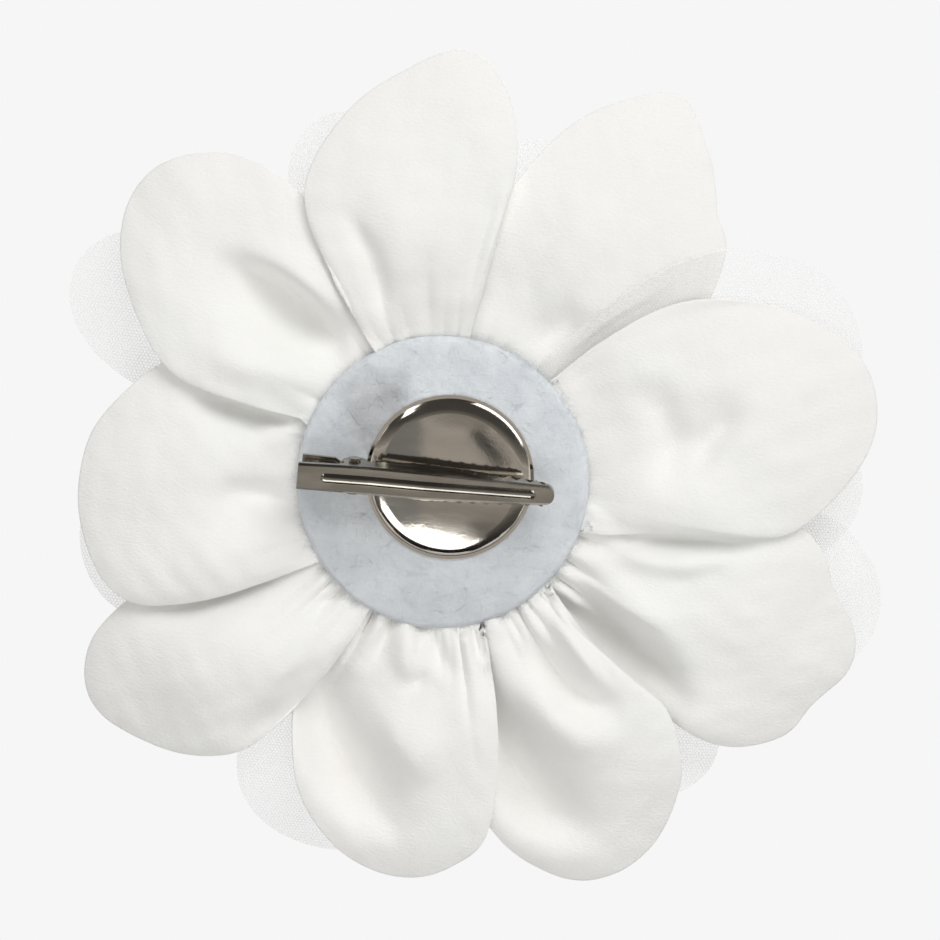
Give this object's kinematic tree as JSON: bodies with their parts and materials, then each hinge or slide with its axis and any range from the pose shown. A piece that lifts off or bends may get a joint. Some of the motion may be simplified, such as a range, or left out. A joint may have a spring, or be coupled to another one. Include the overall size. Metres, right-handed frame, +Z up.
{
  "type": "flower hair clip",
  "caption": "Layered fabric flower with gathered chiffon and net petals on a felt back, held by a toothed spring clip on a domed round plate.",
  "frame": {"origin": "in the bite plane of the closed jaws, on the axis of the round plate", "axes": "+X along the clip from its tail to its tip, +Z up as worn, +Y from the hair to the front of the flower"},
  "size_m": [0.1267, 0.038, 0.1318],
  "materials": {
    "nickel_jaw": "polished",
    "nickel_plate": "polished",
    "pin_steel": "satin",
    "spring_wire": "satin",
    "solder": "satin",
    "felt": "matte",
    "buckram": "matte",
    "chiffon": "matte",
    "net": "matte"
  },
  "bodies": {
    "flower": {"lower_jaw": "nickel_jaw", "round_plate": "nickel_plate", "pivot_pin": "pin_steel", "torsion_spring": "spring_wire", "weld_pad": "solder", "felt_disc": "felt", "base_disc": "buckram", "centre_bud": "chiffon", "back_petal_1": "chiffon", "back_petal_2": "chiffon", "back_petal_3": "chiffon", "back_petal_4": "chiffon", "back_petal_5": "chiffon", "back_petal_6": "chiffon", "back_petal_7": "chiffon", "back_petal_8": "chiffon", "back_petal_9": "chiffon", "middle_petal_1": "chiffon", "middle_petal_2": "chiffon", "middle_petal_3": "chiffon", "middle_petal_4": "chiffon", "middle_petal_5": "chiffon", "middle_petal_6": "chiffon", "middle_petal_7": "chiffon", "middle_petal_8": "chiffon", "front_petal_1": "chiffon", "front_petal_2": "chiffon", "front_petal_3": "chiffon", "front_petal_4": "chiffon", "front_petal_5": "chiffon", "front_petal_6": "chiffon", "back_net_1": "net", "back_net_2": "net", "back_net_3": "net", "back_net_4": "net", "back_net_5": "net", "back_net_6": "net", "back_net_7": "net", "back_net_8": "net", "back_net_9": "net", "back_net_10": "net", "middle_net_1": "net", "middle_net_2": "net", "middle_net_3": "net", "middle_net_4": "net", "middle_net_5": "net", "middle_net_6": "net", "middle_net_7": "net"},
    "upper_jaw": {"upper_jaw": "nickel_jaw"}
  },
  "joints": [
    {"name": "jaw_hinge", "type": "hinge", "parent": "flower", "child": "upper_jaw", "pos_m": [-0.0148, 0, 0], "axis": [0, 0, -1], "range_deg": [0, 32], "stiffness_Nm_per_rad": 0.03, "springref_deg": -68.75, "deforming": ["torsion_spring"]}
  ]
}
